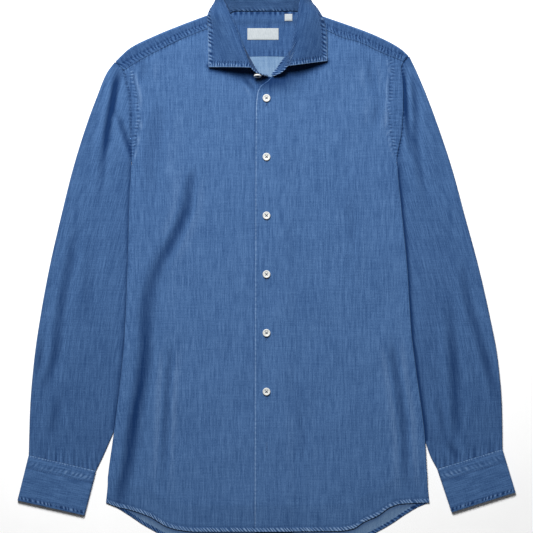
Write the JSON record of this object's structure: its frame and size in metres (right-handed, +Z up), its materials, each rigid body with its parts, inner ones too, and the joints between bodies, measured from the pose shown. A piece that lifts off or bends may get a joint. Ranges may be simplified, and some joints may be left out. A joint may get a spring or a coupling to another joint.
{
  "type": "denim shirt",
  "caption": "Long-sleeved denim shirt laid flat on its back, buttoned down the front, with its spread collar standing open and both sleeves beside the body.",
  "frame": {"origin": "on the surface that the shirt lies on, under the middle of its box", "axes": "+Y from hem to collar, +X towards the wearer's left sleeve, +Z up from the surface, with the front of the shirt facing up"},
  "size_m": [0.7476, 0.8504, 0.029],
  "materials": {
    "denim": "washed mid-blue denim, outer side, matte twill",
    "denim_inside": "paler inner side of the same cloth",
    "button": "white four-hole shirt button, slightly glossy",
    "label": "off-white woven tape, bare"
  },
  "bodies": {
    "root": {"back": "denim_inside", "yoke": "denim", "front_right": "denim", "front_left": "denim", "sleeve_right": "denim", "sleeve_left": "denim", "cuff_right": "denim", "cuff_left": "denim", "collar_stand": "denim", "collar_leaf": "denim", "button_1": "button", "button_2": "button", "button_3": "button", "button_4": "button", "button_5": "button", "button_6": "button", "button_stand": "button", "neck_label": "label", "size_tab": "label"}
  },
  "joints": []
}
